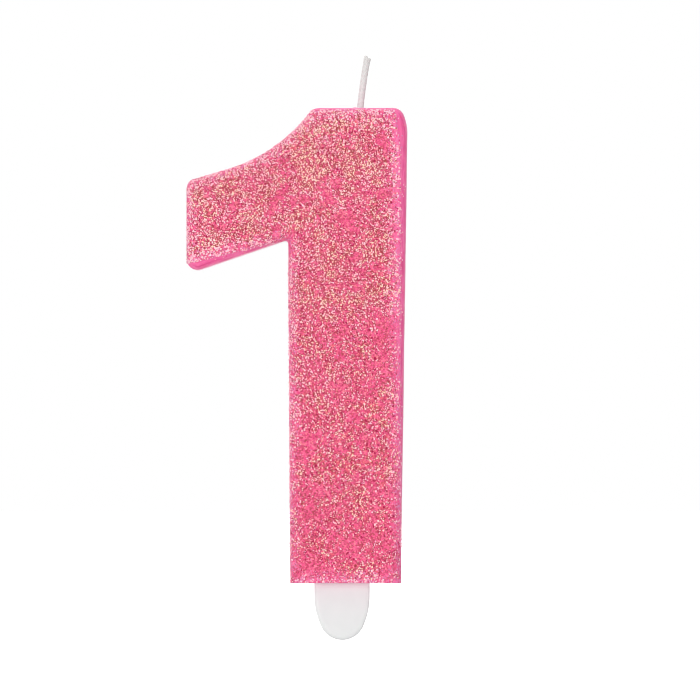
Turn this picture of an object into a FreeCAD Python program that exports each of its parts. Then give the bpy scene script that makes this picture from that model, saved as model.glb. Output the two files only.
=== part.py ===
import FreeCAD, Part
import Sketcher
import math
import os

# A moulded wax number candle, in millimetres: +Z up, the decorated face towards -Y.
# The origin is the middle of the flat underside, at mid thickness. The pick hangs below it.

SIZES = {
    # the slab of wax and its rounded edges
    "wax_thickness": 10.0,
    "front_round": 1.8,
    "back_round": 0.5,
    "base_level": 0.0,
    "crown_level": 80.0,
    # corners of the figure, clockwise from the foot's left end, each with its rounding radius
    "stem_foot_left": -9.33,
    "notch_across": -9.7,
    "notch_level": 57.75,
    "notch_round": 0.25,
    "flag_across": -26.8,
    "flag_low_level": 51.86,
    "flag_low_round": 1.85,
    "flag_top_level": 67.6,
    "flag_top_round": 1.85,
    "sweep_across": -11.72,
    "sweep_level": 72.05,
    "sweep_round": 27.0,
    "shoulder_across": -5.4,
    "shoulder_round": 1.85,
    "crown_across": 9.42,
    "crown_round": 2.0,
    "bevel_across": 10.46,
    "bevel_level": 76.9,
    "bevel_round": 7.0,
    "stem_foot_right": 9.33,
    # the decorated film over the face, and the border that it keeps from the edges
    "coat_film": 0.2,
    "coat_wrap": 1.3,
    "coat_clear": 1.0,
    "coat_foot_level": -1.0,
    "coat_foot_right": 9.35,
    "coat_foot_left": -11.0,
    "coat_side": 9.25,
    "coat_side_level": 73.0,
    "coat_side_round": 10.0,
    "coat_crown_across": 8.35,
    "coat_crown_level": 79.6,
    "coat_crown_round": 1.0,
    "coat_outer": -28.5,
    "coat_flag_level": 53.3,
    "coat_notch": -9.5,
    "coat_notch_level": 57.75,
    # the wick: a straight run inside the stem, then one slow bend out of the crown
    "wick_core": 0.9,
    "wick_outer": 1.2,
    "wick_across": 1.96,
    "wick_foot": 18.0,
    "wick_bend_start": 70.0,
    "wick_bend_round": 100.0,
    "wick_wax_end": 88.3,
    "wick_end": 88.8,
    # the flat pick: a round-ended tab below the wax and an anchor cast into it
    "pick_thickness": 2.0,
    "pick_rim_round": 0.5,
    "pick_left": -5.27,
    "pick_right": 4.05,
    "anchor_top": 13.5,
    "anchor_round": 1.5,
    "pick_turn_level": -4.57,
    "pick_turn_round": 11.9,
    "pick_apex_across": -0.44,
    "pick_apex_level": -16.2,
    "pick_apex_round": 3.87,
    "anchor_hole_across": -0.6,
    "anchor_hole_level": 9.0,
    "anchor_hole_size": 4.0,
    "anchor_notch_level": 4.0,
    "anchor_notch_size": 2.0,
}

# how a sketch's constraints name its origin and the points of a line, arc or circle
ORIGIN = -1
START, END, CENTRE = 1, 2, 3

NEAR = 1e-4  # two places closer than this are the same
VOLUME_SHARE = 0.002  # how far a swept rod's volume may be from its section times its length

doc = FreeCAD.newDocument("number_candle")
sheet = doc.addObject("Spreadsheet::Sheet", "Sizes")
for row, (alias, number) in enumerate(SIZES.items(), start=1):
    sheet.set("A%d" % row, alias)
    sheet.set("B%d" % row, str(number))
    sheet.setAlias("B%d" % row, alias)
doc.recompute()


def size(alias):
    """The number in a cell of the sheet."""
    return float(sheet.get(alias))


def cell(alias):
    """The expression that binds a property to a cell of the sheet."""
    return "Sizes." + alias


def new_body(label):
    """An empty body with its label."""
    body = doc.addObject("PartDesign::Body", label)
    body.Label = label
    return body


def new_sketch(body, name, role):
    """A sketch on one of the body's own origin planes."""
    sketch = body.newObject("Sketcher::SketchObject", name)
    plane = next(item for item in body.Origin.OriginFeatures if item.Role == role)
    sketch.AttachmentSupport = [(plane, "")]
    sketch.MapMode = "FlatFace"
    return sketch


def bind(sketch, kind, *where, to):
    """Add a constraint whose value is bound to a cell."""
    index = sketch.addConstraint(Sketcher.Constraint(kind, *where, size(to)))
    sketch.setExpression("Constraints[%d]" % index, cell(to))


def place_point(sketch, geometry, vertex, across, level):
    """Hold one point of a sketch at two cells' distances from its origin."""
    bind(sketch, "DistanceX", ORIGIN, START, geometry, vertex, to=across)
    bind(sketch, "DistanceY", ORIGIN, START, geometry, vertex, to=level)


def rounded_outline(sketch, corners):
    """Draw a closed outline of straight sides through corner points, and round the corners that name a radius.

    corners lists (across cell, level cell, radius cell or None), clockwise.
    """
    points = [FreeCAD.Vector(size(across), size(level), 0) for across, level, _ in corners]
    count = len(corners)
    arrive, leave, arcs = list(points), list(points), {}
    for i, (_, _, radius) in enumerate(corners):
        if radius is None:
            continue
        back = (points[i - 1] - points[i]).normalize()
        ahead = (points[(i + 1) % count] - points[i]).normalize()
        half_angle = back.getAngle(ahead) / 2
        arrive[i] = points[i] + back * (size(radius) / math.tan(half_angle))
        leave[i] = points[i] + ahead * (size(radius) / math.tan(half_angle))
        inwards = (back + ahead).normalize()
        middle = points[i] + inwards * (size(radius) / math.sin(half_angle) - size(radius))
        # a sketch's arcs run anticlockwise, so the arc of a right turn is drawn from its far end
        turns_left = back.cross(ahead).z < 0
        ends = (arrive[i], leave[i]) if turns_left else (leave[i], arrive[i])
        arc = sketch.addGeometry(Part.Arc(ends[0], middle, ends[1]), False)
        arcs[i] = (arc, START if turns_left else END, END if turns_left else START)
    sides = [
        sketch.addGeometry(Part.LineSegment(leave[i], arrive[(i + 1) % count]), False)
        for i in range(count)
    ]
    for i, (across, level, radius) in enumerate(corners):
        before, after = sides[i - 1], sides[i]
        if radius is None:
            sketch.addConstraint(Sketcher.Constraint("Coincident", before, END, after, START))
            place_point(sketch, after, START, across, level)
            continue
        corner = sketch.addGeometry(Part.Point(points[i]), True)
        place_point(sketch, corner, START, across, level)
        sketch.addConstraint(Sketcher.Constraint("PointOnObject", corner, START, before))
        sketch.addConstraint(Sketcher.Constraint("PointOnObject", corner, START, after))
        arc, near, far = arcs[i]
        sketch.addConstraint(Sketcher.Constraint("Tangent", before, END, arc, near))
        sketch.addConstraint(Sketcher.Constraint("Tangent", arc, far, after, START))
        bind(sketch, "Radius", arc, to=radius)


def circles(sketch, places):
    """Draw circles, each (across cell, level cell, diameter cell)."""
    for across, level, diameter in places:
        centre = FreeCAD.Vector(size(across), size(level), 0)
        up = FreeCAD.Vector(0, 0, 1)
        circle = sketch.addGeometry(Part.Circle(centre, up, size(diameter) / 2), False)
        place_point(sketch, circle, CENTRE, across, level)
        bind(sketch, "Diameter", circle, to=diameter)


def symmetric_pad(body, name, sketch, thickness):
    """Pad a sketch equally to both sides of its plane."""
    pad = body.newObject("PartDesign::Pad", name)
    pad.Profile = sketch
    pad.SideType = "Symmetric"
    pad.setExpression("Length", cell(thickness))
    doc.recompute()
    return pad


def edges_at(shape, level_y, lowest_z=-math.inf):
    """Names of the edges that lie in the plane y = level_y and reach above lowest_z."""
    names = []
    for number, edge in enumerate(shape.Edges, start=1):
        box = edge.BoundBox
        in_plane = abs(box.YMin - level_y) < NEAR and abs(box.YMax - level_y) < NEAR
        if in_plane and box.ZMax > lowest_z + NEAR:
            names.append("Edge%d" % number)
    return names


def round_edges(body, name, base, edges, radius):
    """Round the named edges of the body's last feature."""
    fillet = body.newObject("PartDesign::Fillet", name)
    fillet.Base = (base, edges)
    fillet.setExpression("Radius", cell(radius))
    doc.recompute()
    return fillet


def boolean(kind, label, base, tool):
    """A Part::Cut, Part::Common or Part::Fuse of two objects."""
    result = doc.addObject("Part::" + kind, label)
    result.Label = label
    result.Base = base
    result.Tool = tool
    doc.recompute()
    return result


FIGURE = [
    ("stem_foot_left", "base_level", None),
    ("notch_across", "notch_level", "notch_round"),
    ("flag_across", "flag_low_level", "flag_low_round"),
    ("flag_across", "flag_top_level", "flag_top_round"),
    ("sweep_across", "sweep_level", "sweep_round"),
    ("shoulder_across", "crown_level", "shoulder_round"),
    ("crown_across", "crown_level", "crown_round"),
    ("bevel_across", "bevel_level", "bevel_round"),
    ("stem_foot_right", "base_level", None),
]

COAT_BORDER = [
    ("coat_foot_left", "coat_foot_level", None),
    ("coat_notch", "coat_notch_level", None),
    ("coat_outer", "coat_flag_level", None),
    ("coat_outer", "coat_crown_level", None),
    ("coat_crown_across", "coat_crown_level", "coat_crown_round"),
    ("coat_side", "coat_side_level", "coat_side_round"),
    ("coat_foot_right", "coat_foot_level", None),
]

PICK_OUTLINE = [
    ("pick_left", "anchor_top", "anchor_round"),
    ("pick_right", "anchor_top", "anchor_round"),
    ("pick_right", "pick_turn_level", "pick_turn_round"),
    ("pick_apex_across", "pick_apex_level", "pick_apex_round"),
    ("pick_left", "pick_turn_level", "pick_turn_round"),
]


def moulded_slab(label):
    """The figure as a slab with its front edge rounded, flat and crisp at the foot."""
    body = new_body(label)
    outline = new_sketch(body, label + "_outline", "XZ_Plane")
    rounded_outline(outline, FIGURE)
    pad = symmetric_pad(body, label + "_pad", outline, "wax_thickness")
    front = edges_at(pad.Shape, -size("wax_thickness") / 2, lowest_z=size("base_level"))
    round_edges(body, label + "_front", pad, front, "front_round")
    return body


def make_wax_slab():
    """The wax before the pick and the wick are cast into it, with its back edge eased as well."""
    body = moulded_slab("wax_slab")
    back = edges_at(body.Tip.Shape, size("wax_thickness") / 2, lowest_z=size("base_level"))
    round_edges(body, "wax_slab_back", body.Tip, back, "back_round")
    return body


def make_pick():
    """The plastic pick: rounded rim, and an anchor hole and two notches that the wax flows into."""
    body = new_body("pick")
    outline = new_sketch(body, "pick_outline", "XZ_Plane")
    rounded_outline(outline, PICK_OUTLINE)
    pad = symmetric_pad(body, "pick_pad", outline, "pick_thickness")
    half = size("pick_thickness") / 2
    rim = edges_at(pad.Shape, -half) + edges_at(pad.Shape, half)
    round_edges(body, "pick_rim", pad, rim, "pick_rim_round")
    keys = new_sketch(body, "pick_keys", "XZ_Plane")
    circles(keys, [
        ("anchor_hole_across", "anchor_hole_level", "anchor_hole_size"),
        ("pick_left", "anchor_notch_level", "anchor_notch_size"),
        ("pick_right", "anchor_notch_level", "anchor_notch_size"),
    ])
    pocket = body.newObject("PartDesign::Pocket", "pick_key_cuts")
    pocket.Profile = keys
    pocket.SideType = "Symmetric"
    pocket.Type = "ThroughAll"
    doc.recompute()
    return body


def make_wick_rod(label, diameter, end):
    """A round rod along the wick's route, up to the level in the cell named by end."""
    body = new_body(label)
    route = new_sketch(body, label + "_route", "XZ_Plane")
    across, radius = size("wick_across"), size("wick_bend_round")
    bend_start = FreeCAD.Vector(across, size("wick_bend_start"), 0)
    lean = math.asin((size(end) - bend_start.y) / radius)

    def on_bend(angle):
        return bend_start + FreeCAD.Vector(radius * (1 - math.cos(angle)), radius * math.sin(angle), 0)

    foot = FreeCAD.Vector(across, size("wick_foot"), 0)
    run = route.addGeometry(Part.LineSegment(foot, bend_start), False)
    bend = route.addGeometry(Part.Arc(on_bend(lean), on_bend(lean / 2), bend_start), False)
    place_point(route, run, START, "wick_across", "wick_foot")
    route.addConstraint(Sketcher.Constraint("Vertical", run))
    bind(route, "DistanceY", ORIGIN, START, run, END, to="wick_bend_start")
    route.addConstraint(Sketcher.Constraint("Tangent", run, END, bend, END))
    bind(route, "Radius", bend, to="wick_bend_round")
    bind(route, "DistanceY", ORIGIN, START, bend, START, to=end)

    section = new_sketch(body, label + "_section", "XY_Plane")
    section.setExpression("AttachmentOffset.Base.z", cell("wick_foot"))
    circles(section, [("wick_across", "base_level", diameter)])
    doc.recompute()
    pipe = body.newObject("PartDesign::AdditivePipe", label + "_pipe")
    pipe.Profile = section
    pipe.Spine = (route, ["Edge1", "Edge2"])
    doc.recompute()

    length = bend_start.y - foot.y + radius * lean
    expected = length * math.pi * size(diameter) ** 2 / 4
    if abs(body.Shape.Volume / expected - 1) > VOLUME_SHARE:
        raise RuntimeError("%s has %.2f mm3, not %.2f" % (label, body.Shape.Volume, expected))
    print("%s: %.1f mm long, bend radius %.1f mm" % (label, length, radius))
    return body


def make_coat_region():
    """The prism that bounds the decorated film: inside its border, and only as deep as it wraps the edge."""
    body = new_body("coat_region")
    border = new_sketch(body, "coat_border", "XZ_Plane")
    border.setExpression(
        "AttachmentOffset.Base.z", "Sizes.wax_thickness / 2 - Sizes.coat_wrap"
    )
    rounded_outline(border, COAT_BORDER)
    pad = body.newObject("PartDesign::Pad", "coat_depth")
    pad.Profile = border
    pad.setExpression("Length", "Sizes.coat_wrap + Sizes.coat_film + Sizes.coat_clear")
    doc.recompute()
    return body


def make_glitter_coat(wax_slab):
    """The film: the slab's own front shape moved forward by the film's thickness, less the slab."""
    blank = moulded_slab("coat_blank")
    blank.setExpression("Placement.Base.y", "-Sizes.coat_film")
    layer = boolean("Common", "coat_layer", blank, make_coat_region())
    return boolean("Cut", "glitter_coat", layer, wax_slab)


slab = make_wax_slab()
pick = make_pick()
wick = make_wick_rod("wick", "wick_core", "wick_end")
wick_rod = make_wick_rod("wick_rod", "wick_outer", "wick_wax_end")
wick_wax = boolean("Cut", "wick_wax", wick_rod, wick)
inserts = boolean("Fuse", "inserts", pick, wick_rod)
wax_body = boolean("Cut", "wax_body", slab, inserts)
glitter_coat = make_glitter_coat(slab)

doc.recompute()
sub_parts = [wax_body, glitter_coat, wick, wick_wax, pick]

for item in doc.Objects:
    if "Invalid" in item.State or "Error" in item.State:
        raise RuntimeError("%s is %s" % (item.Name, item.State))
for item in doc.findObjects("Sketcher::SketchObject"):
    if item.solve() != 0:
        raise RuntimeError("%s does not solve" % item.Name)
for item in sub_parts:
    if item.Shape.isNull() or not item.Shape.isValid() or len(item.Shape.Solids) != 1:
        raise RuntimeError("%s is not one valid solid" % item.Label)

os.makedirs("parts", exist_ok=True)
for item in sub_parts:
    item.Shape.exportStep("parts/%s.step" % item.Label)
    print("%-13s %9.2f mm3" % (item.Label, item.Shape.Volume))
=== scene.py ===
import math

import bpy
import numpy as np
from mathutils import Matrix, Vector, noise
from mathutils.bvhtree import BVHTree
from mathutils.kdtree import KDTree


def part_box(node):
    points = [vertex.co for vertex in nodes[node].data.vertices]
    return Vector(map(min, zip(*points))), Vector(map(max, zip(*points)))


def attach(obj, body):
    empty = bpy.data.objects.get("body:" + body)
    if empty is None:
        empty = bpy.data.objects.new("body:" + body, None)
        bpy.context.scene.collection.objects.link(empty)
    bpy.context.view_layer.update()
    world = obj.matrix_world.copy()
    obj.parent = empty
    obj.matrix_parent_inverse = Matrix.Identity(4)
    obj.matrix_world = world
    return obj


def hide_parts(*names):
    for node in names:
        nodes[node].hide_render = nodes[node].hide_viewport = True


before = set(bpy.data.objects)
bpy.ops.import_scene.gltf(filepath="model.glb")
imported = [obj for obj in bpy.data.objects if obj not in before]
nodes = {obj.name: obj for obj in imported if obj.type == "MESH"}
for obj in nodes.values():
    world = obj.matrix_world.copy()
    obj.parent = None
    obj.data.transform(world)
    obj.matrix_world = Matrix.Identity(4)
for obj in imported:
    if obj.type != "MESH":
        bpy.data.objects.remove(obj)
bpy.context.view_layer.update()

MM = 0.001
SEED = 20
rng = np.random.default_rng(SEED)

# ---------------------------------------------------------------- places, all from the frame
wax_low, wax_high = (Vector(corner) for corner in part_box("wax_body"))
coat_low, coat_high = (Vector(corner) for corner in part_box("glitter_coat"))
wick_low, wick_high = (Vector(corner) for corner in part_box("wick"))
sheath_low, sheath_high = (Vector(corner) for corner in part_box("wick_wax"))
pick_low, pick_high = (Vector(corner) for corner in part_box("pick"))


# ---------------------------------------------------------------- node and mesh helpers
def new_material(name):
    """A node material with its Principled shader, and the tree that holds it."""
    made = bpy.data.materials.new(name)
    made.use_nodes = True
    return made, made.node_tree, made.node_tree.nodes["Principled BSDF"]


def add_node(tree, kind, **settings):
    """Add a node and set its properties."""
    made = tree.nodes.new(kind)
    for key, value in settings.items():
        setattr(made, key, value)
    return made


def set_inputs(node, **values):
    """Set a node's sockets by name, with underscores for spaces."""
    for key, value in values.items():
        node.inputs[key.replace("_", " ")].default_value = value


def object_place(tree):
    """The surface point in the object's own coordinates, which are the frame's, in metres."""
    return add_node(tree, "ShaderNodeTexCoord").outputs["Object"]


def noise_at(tree, place, grain_mm, detail=3.0, roughness=0.5):
    """Smooth noise whose blotches are about grain_mm across."""
    made = add_node(tree, "ShaderNodeTexNoise")
    set_inputs(made, Scale=1 / (grain_mm * MM), Detail=detail, Roughness=roughness)
    tree.links.new(place, made.inputs["Vector"])
    return made.outputs["Fac"]


def ramp(tree, factor, stops):
    """A colour ramp with stops of (position, (r, g, b))."""
    made = add_node(tree, "ShaderNodeValToRGB")
    elements = made.color_ramp.elements
    while len(elements) < len(stops):
        elements.new(0.5)
    for element, (position, colour) in zip(elements, stops):
        element.position = position
        element.color = (*colour, 1.0)
    tree.links.new(factor, made.inputs["Fac"])
    return made.outputs["Color"]


def map_range(tree, value, low, high, to_low, to_high):
    """Map a value from one range to another, clamped."""
    made = add_node(tree, "ShaderNodeMapRange")
    tree.links.new(value, made.inputs["Value"])
    limits = {"From Min": low, "From Max": high, "To Min": to_low, "To Max": to_high}
    for key, number in limits.items():
        made.inputs[key].default_value = number
    return made.outputs["Result"]


def bump(tree, height, depth_mm, normal=None):
    """A bump whose height output spans depth_mm."""
    made = add_node(tree, "ShaderNodeBump")
    set_inputs(made, Strength=1.0, Distance=depth_mm * MM)
    tree.links.new(height, made.inputs["Height"])
    if normal is not None:
        tree.links.new(normal, made.inputs["Normal"])
    return made.outputs["Normal"]


def attribute(tree, name):
    """A number kept on the mesh's vertices."""
    made = add_node(tree, "ShaderNodeAttribute")
    made.attribute_name = name
    return made.outputs["Fac"]


def store(mesh, name, values):
    """Keep a number on each vertex, for a material to read."""
    mesh.attributes.new(name, "FLOAT", "POINT").data.foreach_set("value", values)


def blend_colours(tree, factor, first, second):
    """Mix two colours, each a socket or (r, g, b)."""
    made = add_node(tree, "ShaderNodeMix", data_type="RGBA")
    tree.links.new(factor, made.inputs["Factor"])
    for socket, colour in ((made.inputs["A"], first), (made.inputs["B"], second)):
        if isinstance(colour, tuple):
            socket.default_value = (*colour, 1.0)
        else:
            tree.links.new(colour, socket)
    return made.outputs["Result"]


def new_object(name, mesh, material, slot=None):
    """Put a mesh in the scene; when a slot is given, as a piece that rides on the candle's one body."""
    made = bpy.data.objects.new(name, mesh)
    bpy.context.scene.collection.objects.link(made)
    mesh.materials.clear()
    mesh.materials.append(material)
    if slot is not None:
        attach(made, "root")
    return made


def smooth(mesh):
    """Shade a mesh smooth."""
    mesh.polygons.foreach_set("use_smooth", [True] * len(mesh.polygons))
    mesh.update()


def surface_tree(mesh):
    """A tree for casting rays at a mesh and finding its nearest points."""
    places = [vertex.co for vertex in mesh.vertices]
    faces = [polygon.vertices for polygon in mesh.polygons]
    return BVHTree.FromPolygons(places, faces)


def point_tree(places):
    """A tree for finding the nearest of many points."""
    tree = KDTree(len(places))
    for number, place in enumerate(places):
        tree.insert(place, number)
    tree.balance()
    return tree


def clamped(place, low, high):
    """The point, moved inside a box."""
    return Vector([min(max(place[i], low[i]), high[i]) for i in range(3)])


def eased(share):
    """A share from 0 to 1 that starts and ends softly."""
    return share * share * (3 - 2 * share)


# ---------------------------------------------------------------- materials
# how large each material's detail is, in millimetres
CLOUD_MM = 5.0
STREAK_MM = 0.45
STREAK_SQUASH = 0.15  # along the edge, so that a streak is about 7 times as long as it is wide
WAX_GRAIN_MM = 0.35
FACET_MM = 0.26
TWIST_MM = 0.6
PRIMING_GRAIN_MM = 0.25
HAZE_MM = 3.0
PICK_GRAIN_MM = 0.12


def translucent(shader, weight, radius, depth_mm):
    """Let light travel a little way under the surface."""
    set_inputs(shader, Subsurface_Weight=weight, Subsurface_Radius=radius)
    set_inputs(shader, Subsurface_Scale=depth_mm * MM)


def wax_material():
    """Dyed paraffin: satin, a little translucent, and faintly streaked along its rounded front edge."""
    made, tree, shader = new_material("pink_wax")
    place = object_place(tree)
    clouds = noise_at(tree, place, CLOUD_MM, detail=6.0, roughness=0.65)
    colour = ramp(tree, clouds, [(0.30, (0.80, 0.100, 0.302)), (0.70, (0.86, 0.122, 0.338))])
    along = add_node(tree, "ShaderNodeVectorMath", operation="MULTIPLY")
    along.inputs[1].default_value = (STREAK_SQUASH, 0, STREAK_SQUASH)
    tree.links.new(place, along.inputs[0])
    inwards = add_node(tree, "ShaderNodeCombineXYZ")
    tree.links.new(attribute(tree, "depth"), inwards.inputs["Y"])
    spread = add_node(tree, "ShaderNodeVectorMath", operation="ADD")
    tree.links.new(along.outputs["Vector"], spread.inputs[0])
    tree.links.new(inwards.outputs["Vector"], spread.inputs[1])
    streaks = ramp(tree, noise_at(tree, spread.outputs["Vector"], STREAK_MM), [
        (0.30, (0.70, 0.070, 0.240)),
        (0.50, (0.83, 0.110, 0.320)),
        (0.72, (0.93, 0.210, 0.430)),
    ])
    streaked = blend_colours(tree, attribute(tree, "turn"), colour, streaks)
    tree.links.new(streaked, shader.inputs["Base Color"])
    fine = noise_at(tree, place, WAX_GRAIN_MM, detail=4.0)
    tree.links.new(map_range(tree, fine, 0.3, 0.7, 0.38, 0.52), shader.inputs["Roughness"])
    tree.links.new(bump(tree, fine, 0.010), shader.inputs["Normal"])
    translucent(shader, 0.25, (1.0, 0.35, 0.5), 1.2)
    set_inputs(shader, Specular_IOR_Level=0.35, Sheen_Weight=0.8, Sheen_Roughness=0.3)
    return made


def film_material():
    """The lacquer between the flakes: facets of buried glitter, fading to the wax's pink at its rim."""
    made, tree, shader = new_material("glitter_lacquer")
    place = object_place(tree)
    cells = add_node(tree, "ShaderNodeTexVoronoi")
    set_inputs(cells, Scale=1 / (FACET_MM * MM), Randomness=1.0)
    tree.links.new(place, cells.inputs["Vector"])
    split = add_node(tree, "ShaderNodeSeparateColor")
    tree.links.new(cells.outputs["Color"], split.inputs["Color"])
    colour = ramp(tree, split.outputs["Red"], [
        (0.00, (0.40, 0.022, 0.050)),
        (0.35, (0.60, 0.035, 0.110)),
        (0.70, (0.80, 0.080, 0.230)),
        (1.00, (0.92, 0.200, 0.320)),
    ])
    faded = blend_colours(tree, attribute(tree, "rim"), colour, (0.88, 0.140, 0.380))
    tree.links.new(faded, shader.inputs["Base Color"])
    rough = map_range(tree, split.outputs["Green"], 0, 1, 0.30, 0.60)
    tree.links.new(rough, shader.inputs["Roughness"])
    tree.links.new(bump(tree, cells.outputs["Distance"], 0.05), shader.inputs["Normal"])
    set_inputs(shader, Sheen_Weight=0.5, Sheen_Roughness=0.35)
    return made


# each finish of flake: name, base colour, metallic, roughness
FINISHES = [
    # the pinks and corals that fill the coat, with its two dark finishes, which also make the painted
    # shadow under each pale speck
    ("rose_deep", (0.610, 0.022, 0.108), 0.05, 0.40),
    ("rose_hot", (0.830, 0.066, 0.234), 0.05, 0.35),
    ("coral", (0.780, 0.098, 0.150), 0.05, 0.35),
    ("salmon", (0.850, 0.205, 0.260), 0.15, 0.32),
    ("brown_rose", (0.380, 0.043, 0.058), 0.05, 0.50),
    ("maroon", (0.400, 0.009, 0.058), 0.05, 0.50),
    ("lilac", (0.720, 0.205, 0.415), 0.05, 0.40),
    # the pale specks
    ("blush", (0.950, 0.450, 0.510), 0.15, 0.38),
    ("pearl", (0.930, 0.510, 0.615), 0.15, 0.38),
    ("cream", (0.950, 0.580, 0.582), 0.15, 0.38),
    ("gold", (0.945, 0.590, 0.465), 0.20, 0.38),
]
FINISH_NAMES = [finish[0] for finish in FINISHES]
DARK_AND_PAINTED_SHADOW_FINISHES = ("brown_rose", "maroon")
DARK_AND_PAINTED_SHADOW_SHINE = 0.3  # as a share of the other finishes' shine


def flake_material(name, colour, metallic, roughness):
    """One finish of glitter film, the same all over a flake. The dark finishes, which also make the
    painted shadows under the pale specks, shine less.
    """
    made, _, shader = new_material("glitter_" + name)
    shine = DARK_AND_PAINTED_SHADOW_SHINE if name in DARK_AND_PAINTED_SHADOW_FINISHES else 1.0
    set_inputs(shader, Base_Color=(*colour, 1.0), Metallic=metallic, Roughness=roughness)
    set_inputs(shader, Specular_IOR_Level=0.35 * shine)
    set_inputs(shader, Sheen_Weight=0.18 * shine, Sheen_Roughness=0.3)
    set_inputs(shader, Coat_Weight=0.10 * shine, Coat_Roughness=0.2, Coat_IOR=1.5)
    return made


def cotton_material():
    """Undyed cotton yarn with its fine twist."""
    made, tree, shader = new_material("wick_cotton")
    place = object_place(tree)
    twist = add_node(tree, "ShaderNodeTexWave", bands_direction="DIAGONAL")
    set_inputs(twist, Scale=1 / (TWIST_MM * MM), Distortion=3.0, Detail=2.0)
    tree.links.new(place, twist.inputs["Vector"])
    colour = ramp(tree, twist.outputs["Fac"], [
        (0.2, (0.60, 0.57, 0.56)),
        (0.8, (0.68, 0.66, 0.65)),
    ])
    tree.links.new(colour, shader.inputs["Base Color"])
    tree.links.new(bump(tree, twist.outputs["Fac"], 0.02), shader.inputs["Normal"])
    set_inputs(shader, Roughness=0.75, Sheen_Weight=0.2)
    return made


# the wick wax's colour from the crown up to the tip: a little greener low down, a painted offset to the
# pink wax's light there
WICK_TINTS = [
    (0.0, (0.61, 0.64, 0.62)),
    (0.3, (0.62, 0.605, 0.60)),
    (1.0, (0.60, 0.585, 0.575)),
]


def priming_wax_material():
    """The wick's thin wax skin, a little translucent over the cotton."""
    made, tree, shader = new_material("priming_wax")
    place = object_place(tree)
    level = add_node(tree, "ShaderNodeSeparateXYZ")
    tree.links.new(place, level.inputs["Vector"])
    rise = map_range(tree, level.outputs["Z"], wax_high.z, wick_high.z, 0, 1)
    colour = ramp(tree, rise, WICK_TINTS)
    tree.links.new(colour, shader.inputs["Base Color"])
    fine = noise_at(tree, place, PRIMING_GRAIN_MM, detail=3.0)
    tree.links.new(map_range(tree, fine, 0.3, 0.7, 0.35, 0.55), shader.inputs["Roughness"])
    tree.links.new(bump(tree, fine, 0.006), shader.inputs["Normal"])
    translucent(shader, 0.3, (1.0, 0.9, 0.9), 0.5)
    return made


# how far below the wax the pick takes a painted pink glow of the wax's light, and where it turns bright,
# painted light against the wax's shadow
PINK_BOUNCE_REACH = 1.6 * MM
SHADOW_LIFT_REACH = (0.80 * MM, 0.12 * MM)


def pick_material():
    """Milky polypropylene with a fine grain. It is a little paler at its rim, painted light against the
    rounded edge's shade, and pinker next to the wax, a painted glow of the wax's pink light, brightest
    right under the wax as painted light against its shadow.
    """
    made, tree, shader = new_material("frosted_plastic")
    place = object_place(tree)
    haze = noise_at(tree, place, HAZE_MM, detail=3.0)
    milky = ramp(tree, haze, [(0.3, (0.688, 0.700, 0.698)), (0.7, (0.716, 0.724, 0.722))])
    # paler at the rim: painted light against the shade of the rounded edge
    painted_rim_light = blend_colours(tree, attribute(tree, "rim"), milky, (0.71, 0.72, 0.72))
    level = add_node(tree, "ShaderNodeSeparateXYZ")
    tree.links.new(place, level.inputs["Vector"])
    # a painted pink glow where the wax's light falls on the pick
    pink_bounce_share = map_range(tree, level.outputs["Z"], wax_low.z - PINK_BOUNCE_REACH, wax_low.z, 0, 1)
    bounce_tinted = blend_colours(tree, pink_bounce_share, painted_rim_light, (0.775, 0.700, 0.715))
    # painted light that lifts the wax's shadow just under it
    shadow_lift_from, shadow_lift_to = (wax_low.z - reach for reach in SHADOW_LIFT_REACH)
    bright = map_range(tree, level.outputs["Z"], shadow_lift_from, shadow_lift_to, 0, 1)
    colour = blend_colours(tree, bright, bounce_tinted, (1.0, 0.92, 0.95))
    tree.links.new(colour, shader.inputs["Base Color"])
    grain = noise_at(tree, place, PICK_GRAIN_MM, detail=2.0)
    tree.links.new(map_range(tree, grain, 0.3, 0.7, 0.28, 0.42), shader.inputs["Roughness"])
    tree.links.new(bump(tree, grain, 0.006), shader.inputs["Normal"])
    translucent(shader, 0.2, (1.0, 1.0, 1.0), 0.8)
    return made


# ---------------------------------------------------------------- the wax body
WAX_VOXEL_MM = 0.3
WAX_RELIEF = 0.035 * MM
SWELLS = ((7 * MM, 1.0), (1.8 * MM, 0.4))  # the relief's grains, each with its weight
SWELL_SINK = 0.6  # so that nearly all of the relief goes inwards
BACK_DISH = 0.15 * MM  # how far the back shrank in
BACK_DISH_REACH = 4 * MM
COLLAR_RISE = 0.35 * MM  # the wax drawn up round the wick
COLLAR_REACH = 0.75 * MM


def remeshed(source, voxel_mm):
    """An even mesh of quads over a closed mesh, made in millimetres, where the remesher is quick."""
    mesh = source.copy()
    mesh.transform(Matrix.Scale(1 / MM, 4))
    holder = bpy.data.objects.new("remesh_holder", mesh)
    bpy.context.scene.collection.objects.link(holder)
    modifier = holder.modifiers.new("even", "REMESH")
    modifier.mode = "VOXEL"
    modifier.voxel_size = voxel_mm
    graph = bpy.context.evaluated_depsgraph_get()
    even = bpy.data.meshes.new_from_object(holder.evaluated_get(graph))
    even.transform(Matrix.Scale(MM, 4))
    bpy.data.objects.remove(holder)
    return even


def side_distance(mesh):
    """For each vertex, how far it is from the nearest side wall."""
    walls = point_tree([vertex.co for vertex in mesh.vertices if abs(vertex.normal.y) < 0.5])
    return [walls.find(vertex.co)[2] for vertex in mesh.vertices]


def edge_turn(normal):
    """1 halfway round the slab's rounded front edge, and 0 on its face, sides and back."""
    if normal.y >= 0:
        return 0.0
    square = normal.y ** 2
    return 4 * square * (1 - square)


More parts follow.
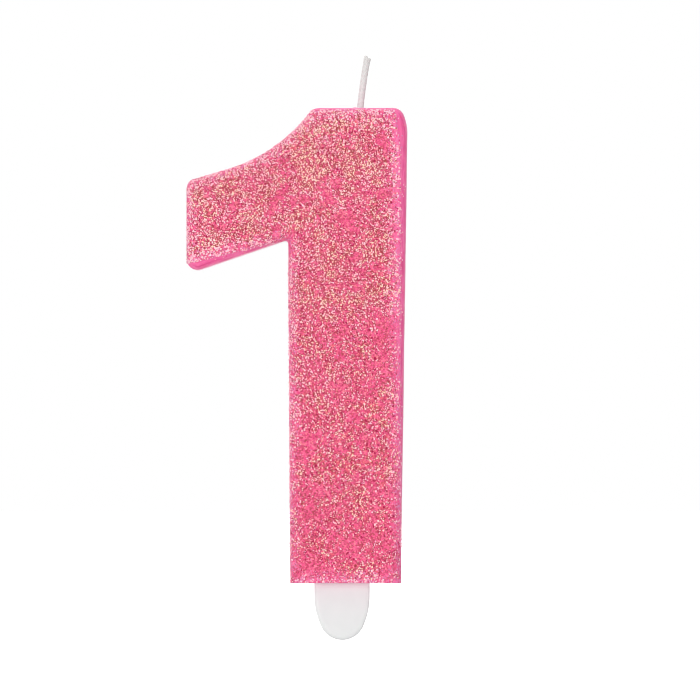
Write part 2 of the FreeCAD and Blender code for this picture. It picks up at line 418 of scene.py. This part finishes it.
def make_wax_body():
    """The moulded slab: slightly uneven, dished at the back, and drawn up round the wick."""
    mesh = remeshed(nodes["wax_body"].data, WAX_VOXEL_MM)
    inwards = side_distance(mesh)
    crown_exit = Vector((wick_across, 0, wax_high.z))
    store(mesh, "depth", inwards)
    store(mesh, "turn", [edge_turn(vertex.normal) for vertex in mesh.vertices])
    moved = []
    for vertex, depth in zip(mesh.vertices, inwards):
        swell = sum(weight * noise.noise(vertex.co / grain) for grain, weight in SWELLS)
        place = vertex.co + vertex.normal * (WAX_RELIEF * (swell - SWELL_SINK))
        place = clamped(place, wax_low, wax_high)
        if vertex.normal.y > 0.9:  # on the flat back
            place.y -= BACK_DISH * eased(min(depth / BACK_DISH_REACH, 1.0))
        if vertex.normal.z > 0.5:  # on the crown
            near = (vertex.co - crown_exit).length / COLLAR_REACH
            place.z += COLLAR_RISE * math.exp(-near * near)
        moved.append(place)
    for vertex, place in zip(mesh.vertices, moved):
        vertex.co = place
    smooth(mesh)
    piece = new_object("candle_wax", mesh, wax_material(), "pink_wax")
    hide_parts("wax_body")
    return piece


# ---------------------------------------------------------------- the wick
WICK_BEND_START = 70 * MM  # the wick is straight up to here
WICK_STEP = 0.12 * MM
PLAIT_PITCH = 2.4 * MM
PLAIT_WIDE = 0.25 * MM
PLAIT_DEEP = 0.14 * MM
STRAND_RADIUS = 0.17 * MM
SKIN = 0.07 * MM  # the wax over the strands
SKIN_FILL = 0.7  # how far it fills the hollows of the plait
SPLAY_LENGTH = 1.5 * MM
# how far each strand leans across at the tip, and how much it is cut short
STRAND_ENDS = [(-0.31 * MM, 0.0), (0.31 * MM, 0.30 * MM), (0.02 * MM, 0.34 * MM)]
STRAND_FRAY = 0.70  # how much thicker a strand is where it was cut
STRAND_SIDES = 16
ROUNDED = 0.12 * MM  # how far from a strand's cut end its edge rounds off
ROUNDING = 0.9  # under 1, so that the cut end keeps a small flat
SKIN_FLARE = 0.12  # how much wider the skin is at the tip
SKIN_SIDES = 28
PLAIT_SHARPNESS = 14 / MM  # how closely the skin keeps to the three strands

wick_radius = (wick_high.y - wick_low.y) / 2
wick_across = wick_low.x + wick_radius
sheath_radius = (sheath_high.y - sheath_low.y) / 2


def wick_bend():
    """The bend's radius and its lean at the tip, from the straight run and the tip's place."""
    lean = 0.25  # a first guess, which the loop settles
    for _ in range(20):
        run = wick_high.x - wick_radius * math.cos(lean) - wick_across
        rise = wick_high.z - wick_radius * math.sin(lean) - WICK_BEND_START
        lean = 2 * math.atan2(run, rise)
    return rise / math.sin(lean), lean


def wick_route(top_trim):
    """Points up the wick's centre line: how far along, the place, and the direction across it."""
    radius, lean = wick_bend()
    straight = WICK_BEND_START - wick_low.z
    length = straight + radius * lean - top_trim
    count = int(length / WICK_STEP)
    for i in range(count + 1):
        travel = length * i / count
        angle = max(travel - straight, 0) / radius
        x = wick_across + radius * (1 - math.cos(angle))
        z = wick_low.z + min(travel, straight) + radius * math.sin(angle)
        yield travel, Vector((x, 0, z)), Vector((math.cos(angle), 0, -math.sin(angle)))


def section_point(centre, across, wide, deep):
    """A point of a section across the wick: wide in the plane of the lean, and deep along Y."""
    return centre + across * wide + Vector((0, deep, 0))


def tip_nearness(travel, total):
    """0 along the wick, rising to 1 over the last stretch before its tip."""
    return max(0.0, 1 - (total - travel) / SPLAY_LENGTH)


def plait_offset(strand, travel):
    """Where a strand of the flat plait is across its section: (in the lean's plane, along Y)."""
    phase = 2 * math.pi * (travel / PLAIT_PITCH + strand / 3)
    return PLAIT_WIDE * math.sin(phase), PLAIT_DEEP * math.sin(2 * phase)


def closed_tube(name, rings):
    """A mesh over rings of points, closed at both ends."""
    sides = len(rings[0])
    places = [point for ring in rings for point in ring]
    faces = [list(range(sides - 1, -1, -1))]
    for start in range(0, len(places) - sides, sides):
        for i in range(sides):
            j = (i + 1) % sides
            faces.append([start + i, start + j, start + sides + j, start + sides + i])
    faces.append(list(range(len(places) - sides, len(places))))
    mesh = bpy.data.meshes.new(name)
    mesh.from_pydata(places, [], faces)
    smooth(mesh)
    return mesh


def strand_rings(strand):
    """One yarn of the plait, whose end splays and is cut to its own length."""
    lean, trim = STRAND_ENDS[strand]
    route = list(wick_route(trim))
    total = route[-1][0]
    rings = []
    for travel, centre, across in route:
        wide, deep = plait_offset(strand, travel)
        ease = eased(tip_nearness(travel, total))
        wide = wide * (1 - ease) + lean * ease
        deep = deep * (1 - ease)
        end = min((total - travel) / ROUNDED, 1.0)
        radius = STRAND_RADIUS * (1 + STRAND_FRAY * ease) * math.sqrt(1 - ROUNDING * (1 - end) ** 2)
        middle = section_point(centre, across, wide, deep)
        angles = [2 * math.pi * i / STRAND_SIDES for i in range(STRAND_SIDES)]
        rings.append([
            section_point(middle, across, radius * math.cos(angle), radius * math.sin(angle))
            for angle in angles
        ])
    return rings


def make_wick():
    """Three yarns plaited flat, standing for the cotton core."""
    cotton = cotton_material()
    strands = []
    for strand in range(3):
        mesh = closed_tube("wick_strand", strand_rings(strand))
        strands.append(new_object("wick_strand_%d" % (strand + 1), mesh, cotton, "wick_cotton"))
    for piece in strands:
        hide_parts("wick")


def skin_radius(travel, angle):
    """How far the wax skin is from the wick's centre line: it partly fills the hollows of the plait."""
    reach = 0
    for strand in range(3):
        wide, deep = plait_offset(strand, travel)
        outwards = wide * math.cos(angle) + deep * math.sin(angle)
        reach += math.exp(PLAIT_SHARPNESS * outwards)
    bulge = math.log(reach) / PLAIT_SHARPNESS + STRAND_RADIUS + SKIN
    return (1 - SKIN_FILL) * bulge + SKIN_FILL * sheath_radius


def make_wick_wax():
    """The priming wax: a thin skin that shows the plait through it and flares where the tip was cut."""
    rings = []
    route = list(wick_route(wick_high.z - sheath_high.z))
    total = route[-1][0]
    for travel, centre, across in route:
        flare = 1 + SKIN_FLARE * tip_nearness(travel, total) ** 2
        ring = []
        for i in range(SKIN_SIDES):
            angle = 2 * math.pi * i / SKIN_SIDES
            radius = min(skin_radius(travel, angle), sheath_radius)
            wide = radius * math.cos(angle) * flare
            ring.append(section_point(centre, across, wide, radius * math.sin(angle)))
        rings.append(ring)
    skin = closed_tube("wick_wax_skin", rings)
    piece = new_object("wick_wax_skin", skin, priming_wax_material(), "priming_wax")
    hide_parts("wick_wax")


# ---------------------------------------------------------------- the pick
PICK_VOXEL_MM = 0.14
PICK_RIM = 0.55 * MM


def make_pick():
    """The moulded pick as an even mesh, which knows how near each point is to its outline."""
    mesh = remeshed(nodes["pick"].data, PICK_VOXEL_MM)
    for vertex in mesh.vertices:
        vertex.co = clamped(vertex.co, pick_low, pick_high)
    store(mesh, "rim", [max(0.0, 1 - depth / PICK_RIM) for depth in side_distance(mesh)])
    smooth(mesh)
    piece = new_object("cake_pick", mesh, pick_material(), "frosted_plastic")
    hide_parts("pick")


# ---------------------------------------------------------------- the lacquer film
FILM_PITCH = 0.25 * MM
FILM_SINK = 0.09 * MM
FILM_THICK = 0.16 * MM
FILM_RELIEF = 0.03 * MM
FILM_GRAIN = 0.6 * MM
RAY_START = -20 * MM  # well in front of the candle
RIM_REACH = 2.6 * MM
RIM_FADE = 0.4  # how far the film's colour goes towards the wax's at the rim
FADE_REACH = 1.9 * MM
FADING_SIDE_FROM = 8.6 * MM  # the rim to the right of this is where the coat thins out


def film_points():
    """Grid points on the coat's front, and just past its border the nearest points of the border."""
    tree = surface_tree(nodes["glitter_coat"].data)
    columns = int((coat_high.x - coat_low.x) / FILM_PITCH) + 2
    rows = int((coat_high.z - coat_low.z) / FILM_PITCH) + 2
    on_face, beside = {}, {}
    for column in range(-1, columns):
        for row in range(-1, rows):
            x = coat_low.x + column * FILM_PITCH
            z = coat_low.z + row * FILM_PITCH
            hit = tree.ray_cast(Vector((x, RAY_START, z)), Vector((0, 1, 0)))[0]
            if hit is None:
                beside[column, row] = tree.find_nearest(Vector((x, coat_high.y, z)))[0]
            else:
                hit.y += FILM_SINK + FILM_RELIEF * noise.noise(Vector((x, 0, z)) / FILM_GRAIN)
                on_face[column, row] = hit
    return on_face, beside


def thickened(name, places, faces):
    """A closed slab behind a patch of faces, with walls round the patch's open border."""
    count = len(places)
    back = [place + Vector((0, FILM_THICK, 0)) for place in places]
    sides = {(face[i - 1], face[i]) for face in faces for i in range(len(face))}
    walls = [(b, a, a + count, b + count) for a, b in sides if (b, a) not in sides]
    mesh = bpy.data.meshes.new(name)
    behind = [tuple(vertex + count for vertex in reversed(face)) for face in faces]
    mesh.from_pydata(places + back, [], faces + behind + sorted(walls))
    smooth(mesh)
    return mesh, sorted({vertex for wall in walls for vertex in wall[:2]})


def nearness(points, rim, reach):
    """1 on the rim, falling to 0 at reach from it."""
    tree = point_tree(rim)
    return np.array([max(0.0, 1 - tree.find(Vector(point))[2] / reach) for point in points])


def rim_shares(points, rim):
    """How near points are to the coat's whole rim, and to its right side, where it thins out."""
    right_side = [place for place in rim if place.x > FADING_SIDE_FROM]
    return nearness(points, rim, RIM_REACH), nearness(points, right_side, FADE_REACH)


def make_film():
    """The lacquer film, sunk so that the flakes stand out of it. Returns its front and its rim."""
    on_face, beside = film_points()
    index, places, faces = {}, [], []
    for column, row in list(on_face) + list(beside):
        corners = [(column, row), (column + 1, row), (column + 1, row + 1), (column, row + 1)]
        if not any(corner in on_face for corner in corners):
            continue
        if not all(corner in on_face or corner in beside for corner in corners):
            continue
        for corner in corners:
            if corner not in index:
                index[corner] = len(places)
                places.append(on_face[corner] if corner in on_face else beside[corner])
        faces.append(tuple(index[corner] for corner in corners))
    film, border = thickened("glitter_film", places, faces)
    rim = [places[vertex] for vertex in border]
    edge, fade = rim_shares(places, rim)
    store(film, "rim", list(np.maximum(RIM_FADE * edge, fade)) * 2)
    piece = new_object("glitter_film", film, film_material(), "glitter_lacquer")
    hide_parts("glitter_coat")
    return np.array([place[:] for place in places]), np.array(faces), rim


# ---------------------------------------------------------------- the flakes
GROUND_FLAKES = 25500
GROUND_ACROSS = (0.16 * MM, 0.31 * MM)
GROUND_LIFT = (0.0, 0.04 * MM)
PALE_FLAKES = 23500  # before thinning, which keeps a little over half
PALE_ACROSS = (0.21 * MM, 0.37 * MM)
PALE_LIFT_MM = (0.055, 0.075)
# the coat's tone varies in clouds: each layer's grain in mm, its offset in the noise and its weight
WARMTH_LAYERS = ((1.8, 0, 1.0), (4.5, 40, 1.0), (10.0, 80, 0.4))
# the share of pale flakes kept: at the foot, and what is added by height, warmth and the rim; those
# added at the rim are a painted highlight along the edge
PALE_AT_FOOT = 0.30
PALE_RISE = 0.57
PALE_WHERE_WARM = 0.32
# more pale flakes near the rim, higher up, and on its very edge: a painted highlight along the rim
PAINTED_RIM_LIGHT_NEAR = 0.22
PAINTED_RIM_LIGHT_ON = 0.35
PALE_LOST_IN_FADE = 0.15
BARE_BELOW = -0.68  # the warmth below which there are no pale flakes
BARE_SPAN = 0.25  # the span of warmth over which they come in
FLAG_EXTRA = 0.20  # more pale flakes on the flag, from the notch outwards
FLAG_FROM = 9 * MM
FLAG_REACH = 3 * MM
GLOWING_ABOVE = 0.28  # the warmth above which golden specks come in clusters
PAINTED_SHADOW_SPREAD = 1.46  # how much wider the dark flake under a pale one is, its painted shadow
FADE_LOSS = 0.5  # the share of flakes missing where the coat thins out
STRAY_FLAKES = 420
STRAY_REACH = 0.5 * MM
STRAY_FINISHES = ("rose_hot", "salmon", "lilac", "blush", "pearl")
FLAKE_THICK = 0.02 * MM
FLAKE_TILT = 14.0
FLAKE_SIDES = 6


def surface_samples(corner, quads, rim, count):
    """Points, normals and rim shares, spread evenly over quads and fewer where the coat thins out."""
    a, b, c, d = (corner[quads[:, i]] for i in range(4))
    cross = np.cross(c - a, d - b)
    area = np.linalg.norm(cross, axis=1)
    chosen = rng.choice(len(quads), size=count, p=area / area.sum())
    u, v = rng.random((2, count, 1))
    low_side = (1 - u) * a[chosen] + u * b[chosen]
    high_side = (1 - u) * d[chosen] + u * c[chosen]
    points = (1 - v) * low_side + v * high_side
    edge, fade = rim_shares(points, rim)
    kept = rng.random(count) > FADE_LOSS * fade
    return points[kept], (cross[chosen] / area[chosen, None])[kept], edge[kept], fade[kept]


def tilted(normals, degrees):
    """Normals turned by random amounts."""
    wobble = rng.normal(0, math.tan(math.radians(degrees)), normals.shape)
    out = normals + wobble
    return out / np.linalg.norm(out, axis=1)[:, None]


def noise_field(points, grain_mm, offset):
    """Smooth noise at many points, mostly between -0.5 and 0.5."""
    shift = Vector((offset, 0, 0))
    return np.array([noise.noise(Vector(point) / (grain_mm * MM) + shift) for point in points])


def pick_finish(weights):
    """Draw each flake's finish, from the named finishes' weights at every flake."""
    rows = np.stack(list(weights.values()), axis=1)
    steps = np.cumsum(rows / rows.sum(axis=1)[:, None], axis=1)
    drawn = (rng.random((len(rows), 1)) > steps[:, :-1]).sum(axis=1)
    return np.array([FINISH_NAMES.index(name) for name in weights])[drawn]


def flake_batch(points, normals, across, lift, finish):
    """Flakes at points, each turned and tilted at random and kept inside the object's own box."""
    facing = tilted(normals, FLAKE_TILT)
    centres = points + normals * lift[:, None]
    reach = across[:, None] / 2 * np.sqrt(1 - facing ** 2) + FLAKE_THICK
    box_low = np.minimum(wax_low, coat_low)
    centres = np.clip(centres, box_low + reach, np.array(wax_high) - reach)
    turns = rng.uniform(0, 2 * math.pi / FLAKE_SIDES, len(points))
    return {"centres": centres, "facing": facing, "across": across, "turns": turns, "finish": finish}


def warmth(points):
    """How warm the coat's tone is: golden specks on coral where high, fewer and pinker elsewhere."""
    return sum(weight * noise_field(points, grain, offset) for grain, offset, weight in WARMTH_LAYERS)


def ground_flakes(film):
    """The pinks that fill the coat: paler higher up, coral where warm, and lilac at the rim, whose paler
    tone there is partly a painted highlight along the edge.
    """
    points, normals, edge, fade = surface_samples(*film, GROUND_FLAKES)
    coral = np.clip(1 + 2.6 * warmth(points), 0.05, 1.95)
    pink = 2 - coral
    middle = 1 - np.maximum(0.85 * edge, 0.95 * fade)
    height = points[:, 2] / coat_high.z
    weights = {
        "rose_deep": (0.24 - 0.16 * height) * middle,
        "rose_hot": 0.30 * pink,
        "coral": 0.25 * coral * middle,
        "salmon": 0.05 + 0.32 * height,
        "brown_rose": 0.03 * middle,
        "maroon": 0.03 * middle,
        "lilac": 0.03 + 1.0 * edge * (1 - 0.6 * fade) + 0.25 * fade,
    }
    across = rng.uniform(*GROUND_ACROSS, len(points))
    lift = rng.uniform(*GROUND_LIFT, len(points))
    return flake_batch(points, normals, across, lift, pick_finish(weights))


def pale_share(points, height, edge, fade, warm):
    """The share of pale flakes kept at each point."""
    flag = np.clip((-points[:, 0] - FLAG_FROM) / FLAG_REACH, 0, 1)
    # the pale flakes added at the rim are a painted highlight along the edge
    painted_rim_light = (PAINTED_RIM_LIGHT_NEAR * edge * height + PAINTED_RIM_LIGHT_ON * edge ** 4) * (1 - fade)
    share = PALE_AT_FOOT + PALE_RISE * height + FLAG_EXTRA * flag
    share += PALE_WHERE_WARM * warm + painted_rim_light - PALE_LOST_IN_FADE * fade
    return share * np.clip((warm - BARE_BELOW) / BARE_SPAN, 0, 1)


def pale_flakes(film):
    """The bright specks, and under each one away from the rim a wider dark flake: a painted shadow round
    the speck.
    """
    points, normals, edge, fade = surface_samples(*film, PALE_FLAKES)
    height = points[:, 2] / coat_high.z
    warm = warmth(points)
    kept = rng.random(len(points)) < pale_share(points, height, edge, fade, warm)
    points, normals, edge, fade = points[kept], normals[kept], edge[kept], fade[kept]
    middle = 1 - np.maximum(0.8 * edge, fade)
    golden = np.clip(0.05 + 0.55 * height[kept] + 3.5 * warm[kept], 0, 1)
    glowing = np.clip(4 * (warm[kept] - GLOWING_ABOVE), 0, 1)
    weights = {
        # the blush and pearl added at the rim make it paler: a painted highlight along the edge
        "blush": 0.45 * (1 - 0.6 * golden) + 0.2 * edge,
        "pearl": 0.26 * (1 - golden) + (1.0 * edge + 2.0 * edge ** 4) * (1 - 0.7 * fade),
        "cream": 0.40 * middle * golden,
        "gold": middle * (0.10 * golden + 0.50 * glowing),
    }
    across = rng.uniform(*PALE_ACROSS, len(points))
    lift = rng.uniform(*PALE_LIFT_MM, len(points)) * MM
    bright = flake_batch(points, normals, across, lift, pick_finish(weights))
    # the wider dark flake under each pale speck is a painted shadow, left out towards the rim
    browner = rng.random(len(points)) < 0.5 * golden + 0.5 * height[kept]
    painted_shadow_finish = np.where(browner, FINISH_NAMES.index("brown_rose"), FINISH_NAMES.index("maroon"))
    across = across * (1 + (PAINTED_SHADOW_SPREAD - 1) * middle)
    under = rng.random(len(points)) > edge
    behind = [values[under] for values in (points, normals, across, lift - FLAKE_THICK, painted_shadow_finish)]
    return bright, flake_batch(*behind)


def stray_flakes(rim, wax_mesh):
    """A few light flakes that missed the coat and stuck to the bare wax beside it."""
    surface = surface_tree(wax_mesh)
    starts = np.array([place[:] for place in rim])[rng.integers(len(rim), size=STRAY_FLAKES)]
    starts = starts + rng.normal(0, STRAY_REACH, starts.shape)
    found = [surface.find_nearest(Vector(start)) for start in starts]
    points = np.array([place[:] for place, _, _, _ in found])
    normals = np.array([normal[:] for _, normal, _, _ in found])
    finish = rng.choice([FINISH_NAMES.index(name) for name in STRAY_FINISHES], size=STRAY_FLAKES)
    across = rng.uniform(*GROUND_ACROSS, STRAY_FLAKES)
    return flake_batch(points, normals, across, np.full(STRAY_FLAKES, FLAKE_THICK), finish)


def flake_mesh(name, centres, facing, across, turns):
    """Closed six-sided plates, one for each centre."""
    helper = np.where(np.abs(facing[:, :1]) < 0.8, [[1.0, 0, 0]], [[0, 0, 1.0]])
    side = np.cross(facing, helper)
    side /= np.linalg.norm(side, axis=1)[:, None]
    other = np.cross(facing, side)
    angles = turns[:, None] + np.arange(FLAKE_SIDES) * 2 * math.pi / FLAKE_SIDES
    rim = np.cos(angles)[..., None] * side[:, None] + np.sin(angles)[..., None] * other[:, None]
    rim *= across[:, None, None] / 2
    half = facing[:, None] * (FLAKE_THICK / 2)
    corners = np.concatenate([centres[:, None] + rim + half, centres[:, None] + rim - half], axis=1)
    first = np.arange(len(centres))[:, None] * 2 * FLAKE_SIDES
    around = np.arange(FLAKE_SIDES)
    ahead = (around + 1) % FLAKE_SIDES
    top = first + around
    bottom = first + 2 * FLAKE_SIDES - 1 - around
    walls = np.stack([ahead, around, around + FLAKE_SIDES, ahead + FLAKE_SIDES], axis=1)
    walls = (first[:, :, None] + walls[None]).reshape(-1, 4)
    mesh = bpy.data.meshes.new(name)
    faces = top.tolist() + bottom.tolist() + walls.tolist()
    mesh.from_pydata(corners.reshape(-1, 3).tolist(), [], faces)
    return mesh


def make_flakes(film, wax_mesh):
    """Thousands of real flakes, half sunk in the film, one piece for each finish."""
    batches = [ground_flakes(film), *pale_flakes(film), stray_flakes(film[2], wax_mesh)]
    joined = {key: np.concatenate([batch[key] for batch in batches]) for key in batches[0]}
    finish = joined.pop("finish")
    for number, (name, colour, metallic, roughness) in enumerate(FINISHES):
        mine = {key: values[finish == number] for key, values in joined.items()}
        material = flake_material(name, colour, metallic, roughness)
        mesh = flake_mesh("flakes_" + name, **mine)
        new_object("flakes_" + name, mesh, material, "glitter_lacquer")


# ---------------------------------------------------------------- stage, lights and camera
FLOOR_RADIUS = 1.2
FLOOR_SIDES = 96
FLOOR_GAP = 0.2 * MM  # below the pick's tip
BOARD_MM = 120.0
FLOOR_GLOW = (0.60, 0.70)
FLOOR_GLOW_REACH = (0.2, 1.0)  # from the middle, where the first glow gives way to the second
ROOM_GLOW = (0.30, 1.2)  # on the dim side, and from the bright wall
WALL_TOWARDS = (-0.75, 0.35, 0.55)
WALL_SPREAD = (0.0, 0.9)  # the cosines from that direction between which the glow grows
TABLE_GLOW = 0.34  # added below the horizon
HORIZON = (-0.1, 0.1)
SUN_STRENGTH = 0.9
SUN_SPREAD = math.radians(50)
# each soft light: name, place, (width, height), watts
LIGHTS = [
    ("key", (-0.45, -1.2, 0.12), (0.8, 0.3), 8.2),
    ("fill", (0.9, -0.8, 0.12), (0.5, 0.3), 4.0),
    ("back", (0.5, 0.9, 0.5), (0.8, 0.8), 1.4),
]
LIGHTS_AIM = (0, 0, 40 * MM)
VIEW_AIM = (0.74 * MM, 0, 39.2 * MM)
FRAME_WIDTH = 117.65 * MM
VIEW_DISTANCE = 1.5
LENS_SENSOR = 36.0


def floor_material():
    """Matt white board, lit from below like a product table, more so towards its rim."""
    made, tree, shader = new_material("pale_floor")
    place = object_place(tree)
    tone = ramp(tree, noise_at(tree, place, BOARD_MM), [
        (0.3, (0.59, 0.59, 0.59)),
        (0.7, (0.61, 0.61, 0.61)),
    ])
    tree.links.new(tone, shader.inputs["Base Color"])
    reach = add_node(tree, "ShaderNodeVectorMath", operation="LENGTH")
    tree.links.new(place, reach.inputs[0])
    glow = map_range(tree, reach.outputs["Value"], *FLOOR_GLOW_REACH, *FLOOR_GLOW)
    tree.links.new(glow, shader.inputs["Emission Strength"])
    set_inputs(shader, Roughness=0.9, Emission_Color=(1, 1, 1, 1))
    return made


def make_floor():
    """A wide pale disc just under the pick's tip."""
    mesh = bpy.data.meshes.new("floor")
    height = pick_low.z - FLOOR_GAP
    angles = [2 * math.pi * i / FLOOR_SIDES for i in range(FLOOR_SIDES)]
    ring = [(FLOOR_RADIUS * math.cos(angle), FLOOR_RADIUS * math.sin(angle), height) for angle in angles]
    mesh.from_pydata(ring, [], [list(range(FLOOR_SIDES))])
    floor = new_object("floor", mesh, floor_material())
    floor.visible_diffuse = False  # the world lights the candle from below, more softly


def make_light(name, place, size, power):
    """A rectangular soft light, aimed at the candle."""
    data = bpy.data.lights.new(name, "AREA")
    data.shape = "RECTANGLE"
    data.size, data.size_y = size
    data.energy = power
    light = bpy.data.objects.new(name, data)
    bpy.context.scene.collection.objects.link(light)
    light.location = place
    light.rotation_euler = (Vector(LIGHTS_AIM) - Vector(place)).to_track_quat("-Z", "Y").to_euler()


def make_sun():
    """Even light straight down, as from a large overhead bank."""
    data = bpy.data.lights.new("overhead", "SUN")
    data.energy = SUN_STRENGTH
    data.angle = SUN_SPREAD
    light = bpy.data.objects.new("overhead", data)
    bpy.context.scene.collection.objects.link(light)


def make_world():
    """White to the camera. Its light is a dim room, lighter below, with a bright wall up on the left."""
    world = bpy.data.worlds.new("studio")
    bpy.context.scene.world = world
    world.use_nodes = True
    tree = world.node_tree
    shown = tree.nodes["Background"]
    set_inputs(shown, Color=(1, 1, 1, 1), Strength=1.0)
    direction = add_node(tree, "ShaderNodeTexCoord").outputs["Generated"]
    towards = add_node(tree, "ShaderNodeVectorMath", operation="DOT_PRODUCT")
    tree.links.new(direction, towards.inputs[0])
    towards.inputs[1].default_value = Vector(WALL_TOWARDS).normalized()
    level = add_node(tree, "ShaderNodeSeparateXYZ")
    tree.links.new(direction, level.inputs["Vector"])
    total = add_node(tree, "ShaderNodeMath", operation="ADD")
    wall = map_range(tree, towards.outputs["Value"], *WALL_SPREAD, *ROOM_GLOW)
    table = map_range(tree, level.outputs["Z"], *HORIZON, TABLE_GLOW, 0)
    tree.links.new(wall, total.inputs[0])
    tree.links.new(table, total.inputs[1])
    room = add_node(tree, "ShaderNodeBackground")
    set_inputs(room, Color=(1, 1, 1, 1))
    tree.links.new(total.outputs["Value"], room.inputs["Strength"])
    path = add_node(tree, "ShaderNodeLightPath")
    mix = add_node(tree, "ShaderNodeMixShader")
    tree.links.new(path.outputs["Is Camera Ray"], mix.inputs["Fac"])
    tree.links.new(room.outputs["Background"], mix.inputs[1])
    tree.links.new(shown.outputs["Background"], mix.inputs[2])
    tree.links.new(mix.outputs["Shader"], tree.nodes["World Output"].inputs["Surface"])


def make_camera():
    """A long lens square on to the face."""
    data = bpy.data.cameras.new("camera")
    data.sensor_width = LENS_SENSOR
    data.lens = LENS_SENSOR * (VIEW_DISTANCE + coat_low.y) / FRAME_WIDTH
    data.clip_end = 20
    camera = bpy.data.objects.new("camera", data)
    bpy.context.scene.collection.objects.link(camera)
    camera.location = Vector(VIEW_AIM) + Vector((0, -VIEW_DISTANCE, 0))
    camera.rotation_euler = (math.pi / 2, 0, 0)
    bpy.context.scene.camera = camera


# ---------------------------------------------------------------- the scene
make_world()
make_floor()
make_sun()
for light in LIGHTS:
    make_light(*light)
make_camera()
bpy.context.scene.view_settings.view_transform = "Standard"
bpy.context.scene.cycles.filter_width = 1.0

wax = make_wax_body()
film = make_film()
make_flakes(film, wax.data)
make_wick()
make_wick_wax()
make_pick()
